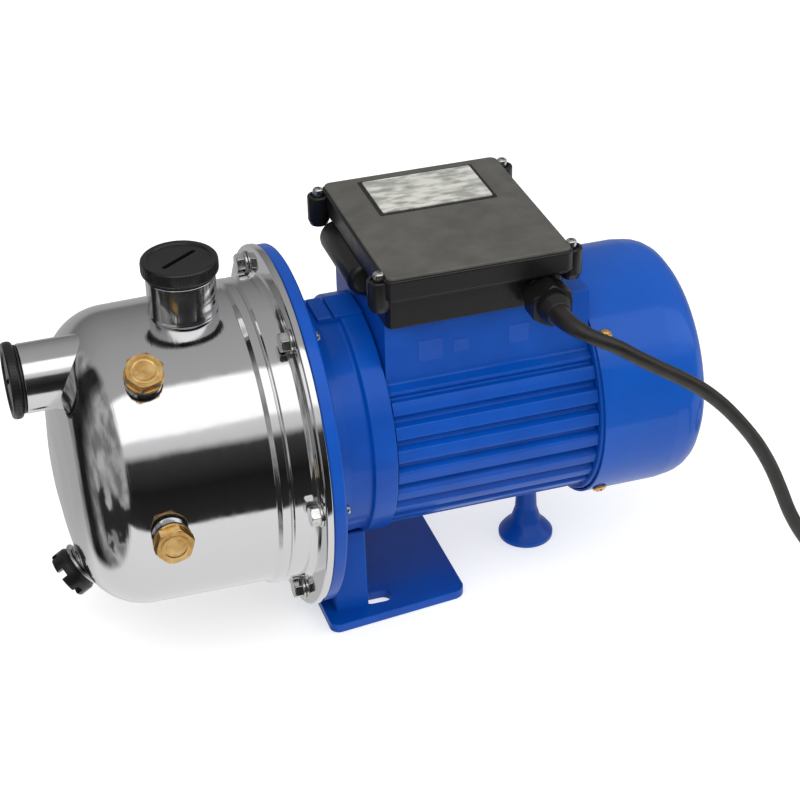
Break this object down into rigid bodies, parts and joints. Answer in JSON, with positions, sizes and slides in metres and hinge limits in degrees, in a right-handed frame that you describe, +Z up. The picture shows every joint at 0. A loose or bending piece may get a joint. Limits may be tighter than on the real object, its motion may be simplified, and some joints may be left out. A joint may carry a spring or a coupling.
{
  "type": "shallow well jet pump",
  "caption": "Self-priming jet pump: polished stainless pump casing with two pipe ports on a blue finned motor with a terminal box, fan cover, feet and mains lead.",
  "frame": {"origin": "middle of the pump on the surface it stands on, without its mains lead", "axes": "+X along the shaft towards the motor fan, +Z up, the suction port faces -X"},
  "size_m": [0.6017, 0.2136, 0.2274],
  "materials": {
    "stainless": "deep drawn stainless steel, mirror polished",
    "steel": "bright zinc plated steel",
    "brass": "turned brass, lightly dulled",
    "copper": "enamelled copper winding",
    "blue_paint": "royal blue gloss enamel",
    "black_plastic": "moulded black plastic, satin",
    "lid_plastic": "moulded dark grey plastic, fine grain",
    "rubber": "black rubber",
    "resin": "glass filled moulding resin",
    "carbon": "carbon and spring seal head",
    "ceramic": "ceramic seal ring",
    "can": "white capacitor can",
    "label": "blank printed foil plate"
  },
  "bodies": {
    "pump": {"pump_casing": "stainless", "suction_chamber": "resin", "jet_nozzle": "brass", "venturi_tube": "resin", "diffuser": "resin", "seal_plate": "stainless", "seal_seat": "ceramic", "casing_o_ring": "rubber", "motor_bracket": "blue_paint", "foot_plate": "blue_paint", "front_bearing_outer": "steel", "rear_bearing_outer": "steel", "motor_housing": "blue_paint", "stator_core": "steel", "stator_winding": "copper", "rear_end_shield": "blue_paint", "fan_cover": "blue_paint", "rear_foot": "blue_paint", "terminal_box_base": "black_plastic", "terminal_box_lid": "lid_plastic", "data_plate": "label", "run_capacitor": "can", "terminal_block": "black_plastic", "cable_gland": "black_plastic", "gland_nut": "black_plastic", "power_cord": "rubber", "cord_coil": "rubber", "mains_plug": "black_plastic", "flange_bolt_1": "steel", "flange_bolt_2": "steel", "flange_bolt_3": "steel", "flange_bolt_4": "steel", "flange_bolt_5": "steel", "flange_bolt_6": "steel", "fan_cover_screw_1": "brass", "lid_screw_1": "steel", "fan_cover_screw_2": "brass", "lid_screw_2": "steel", "fan_cover_screw_3": "brass", "lid_screw_3": "steel", "fan_cover_screw_4": "brass", "lid_screw_4": "steel"},
    "rotor": {"rotor_shaft": "steel", "rotor_core": "steel", "impeller": "resin", "seal_head": "carbon", "front_bearing_inner": "steel", "rear_bearing_inner": "steel", "cooling_fan": "black_plastic"},
    "discharge_seal_ring": {"discharge_seal": "rubber"},
    "discharge_plug_body": {"discharge_plug": "black_plastic"},
    "suction_seal_ring": {"suction_seal": "rubber"},
    "suction_plug_body": {"suction_plug": "black_plastic"},
    "fill_washer_ring": {"fill_washer": "rubber"},
    "fill_plug_body": {"fill_plug": "brass"},
    "gauge_washer_ring": {"gauge_washer": "rubber"},
    "gauge_plug_body": {"gauge_plug": "brass"},
    "drain_washer_ring": {"drain_washer": "steel"},
    "drain_plug_body": {"drain_plug": "black_plastic"}
  },
  "joints": [
    {"name": "rotor_spin", "type": "hinge", "parent": "pump", "child": "rotor", "pos_m": [-0.04505, 0, 0.111], "axis": [1, 0, 0], "continuous": true},
    {"name": "discharge_plug_lift", "type": "slide", "parent": "pump", "child": "discharge_seal_ring", "axis": [0, 0, 1], "range_m": [0, 0.00925]},
    {"name": "discharge_plug_turn", "type": "hinge", "parent": "discharge_seal_ring", "child": "discharge_plug_body", "pos_m": [-0.09655, 0, 0.2165], "axis": [0, 0, 1], "range_deg": [0, 1440]},
    {"name": "suction_plug_lift", "type": "slide", "parent": "pump", "child": "suction_seal_ring", "axis": [-1, 0, 0], "range_m": [0, 0.00925]},
    {"name": "suction_plug_turn", "type": "hinge", "parent": "suction_seal_ring", "child": "suction_plug_body", "pos_m": [-0.18685, 0, 0.17], "axis": [-1, 0, 0], "range_deg": [0, 1440]},
    {"name": "fill_plug_lift", "type": "slide", "parent": "pump", "child": "fill_washer_ring", "axis": [0, -0.5299, 0.848], "range_m": [0, 0.00803]},
    {"name": "fill_plug_turn", "type": "hinge", "parent": "fill_washer_ring", "child": "fill_plug_body", "pos_m": [-0.12905, 0, 0.111], "axis": [0, -0.5299, 0.848], "range_deg": [0, 2160]},
    {"name": "gauge_plug_lift", "type": "slide", "parent": "pump", "child": "gauge_washer_ring", "axis": [0, -1, 0], "range_m": [0, 0.00803]},
    {"name": "gauge_plug_turn", "type": "hinge", "parent": "gauge_washer_ring", "child": "gauge_plug_body", "pos_m": [-0.12905, 0, 0.111], "axis": [0, -1, 0], "range_deg": [0, 2160]},
    {"name": "drain_plug_lift", "type": "slide", "parent": "pump", "child": "drain_washer_ring", "axis": [-0.8387, 0, -0.5446], "range_m": [0, 0.00803]},
    {"name": "drain_plug_turn", "type": "hinge", "parent": "drain_washer_ring", "child": "drain_plug_body", "pos_m": [-0.13455, 0, 0.0635], "axis": [-0.8387, 0, -0.5446], "range_deg": [0, 2160]}
  ],
  "couplings": [
    {"joint": "discharge_plug_lift", "follows": "discharge_plug_turn", "m_per_rad": 0.00036749},
    {"joint": "suction_plug_lift", "follows": "suction_plug_turn", "m_per_rad": 0.00036749},
    {"joint": "fill_plug_lift", "follows": "fill_plug_turn", "m_per_rad": 0.00021279},
    {"joint": "gauge_plug_lift", "follows": "gauge_plug_turn", "m_per_rad": 0.00021279},
    {"joint": "drain_plug_lift", "follows": "drain_plug_turn", "m_per_rad": 0.00021279}
  ]
}
